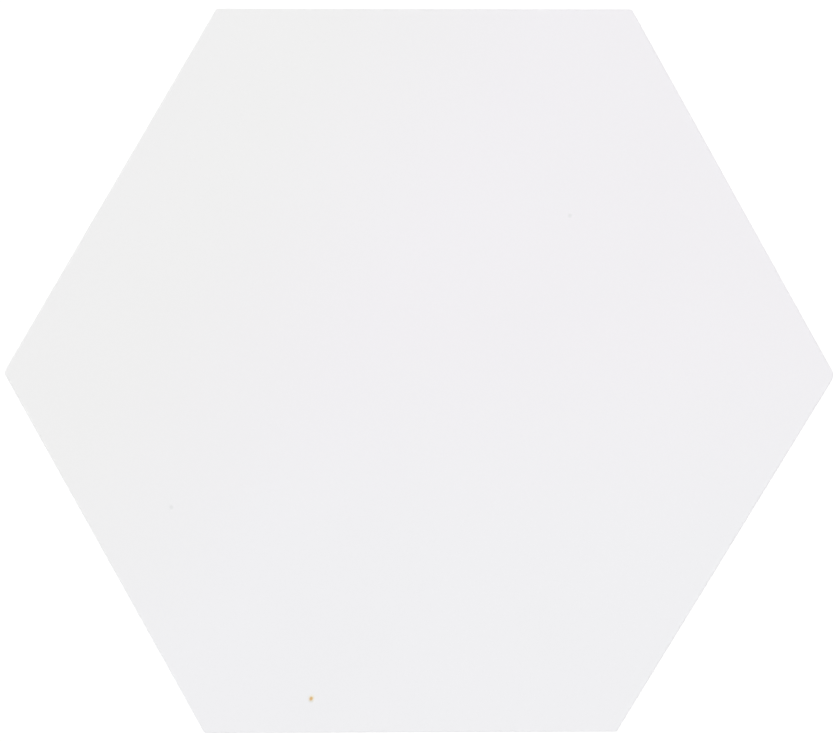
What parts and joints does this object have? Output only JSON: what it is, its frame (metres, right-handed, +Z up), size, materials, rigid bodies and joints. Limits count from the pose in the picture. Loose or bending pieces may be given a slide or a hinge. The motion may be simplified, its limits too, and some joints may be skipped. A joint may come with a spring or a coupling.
{
  "type": "hexagon tile",
  "caption": "Flat white hexagonal tile of pressed cement with a plain matte face, crisp edges and a flat back, for paving a floor or facing a wall.",
  "frame": {"origin": "middle of the back, which lies on the floor", "axes": "+Z up through the face; +X to the right-hand corner and +Y square to the top side, as the picture shows the face"},
  "size_m": [0.2297, 0.2009, 0.016],
  "materials": {
    "white_cement": "matte"
  },
  "bodies": {
    "root": {"hexagon_tile": "white_cement"}
  },
  "joints": []
}
